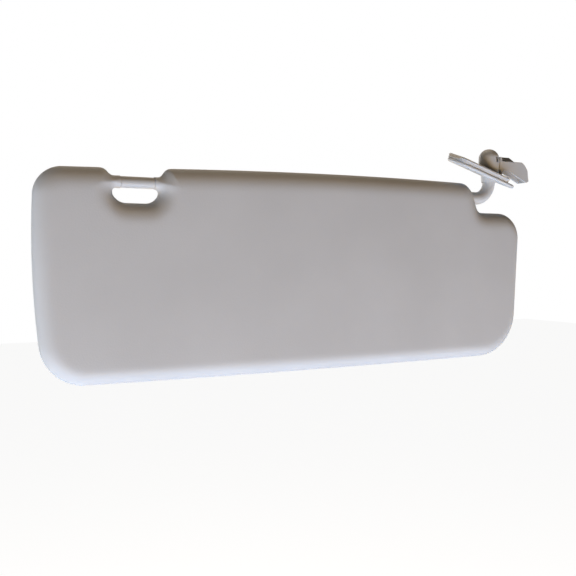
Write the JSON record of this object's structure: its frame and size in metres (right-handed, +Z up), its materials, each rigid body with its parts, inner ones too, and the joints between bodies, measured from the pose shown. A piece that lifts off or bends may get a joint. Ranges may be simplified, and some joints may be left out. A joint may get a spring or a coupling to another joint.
{
  "type": "car sun visor",
  "caption": "Padded car sun visor with a hand hole and clip pin, on a bent swivel arm with a sloping roof bracket and hook.",
  "frame": {"origin": "where the arm's upright axis crosses the plane of the bracket's seat on the roof lining", "axes": "+Z up in the car; +X outboard, towards the side window, along the hanging panel; -Y towards the windscreen, which the hanging panel's visible face looks at"},
  "size_m": [0.4575, 0.0275, 0.193],
  "materials": {
    "cover": "fine-grained moulded cover, light warm grey",
    "foam": "bead foam",
    "bracket_plastic": "light grey moulded plastic, satin",
    "pin_plastic": "light grey moulded plastic, smooth",
    "bearing_plastic": "natural acetal",
    "steel": "zinc-plated steel",
    "spring_steel": "blued spring steel"
  },
  "bodies": {
    "bracket": {"trim_plate": "bracket_plastic", "bracket_base": "bracket_plastic", "boss_cap": "bracket_plastic", "swivel_bush": "bearing_plastic", "thrust_washer": "bearing_plastic", "screw_sleeve": "steel"},
    "arm": {"pivot_rod": "steel", "arm_sleeve": "bracket_plastic", "spring_washer": "spring_steel", "retaining_ring": "spring_steel", "rod_collar": "spring_steel"},
    "panel": {"front_cover": "cover", "rear_cover": "cover", "core_front": "foam", "core_rear": "foam", "wire_frame": "steel", "hinge_housing": "bearing_plastic", "housing_lid": "bearing_plastic", "lid_screws": "steel", "detent_clip": "spring_steel", "mouth_bush": "bearing_plastic", "pin_socket_inboard": "bearing_plastic", "pin_socket_outboard": "bearing_plastic", "support_pin": "pin_plastic"}
  },
  "joints": [
    {"name": "swivel", "type": "hinge", "parent": "bracket", "child": "arm", "pos_m": [0, 0, 0], "axis": [0, 0, 1], "range_deg": [-95, 0]},
    {"name": "visor_flip", "type": "hinge", "parent": "arm", "child": "panel", "pos_m": [0, 0, -0.0226], "axis": [1, 0, 0], "range_deg": [-65, 88]}
  ]
}
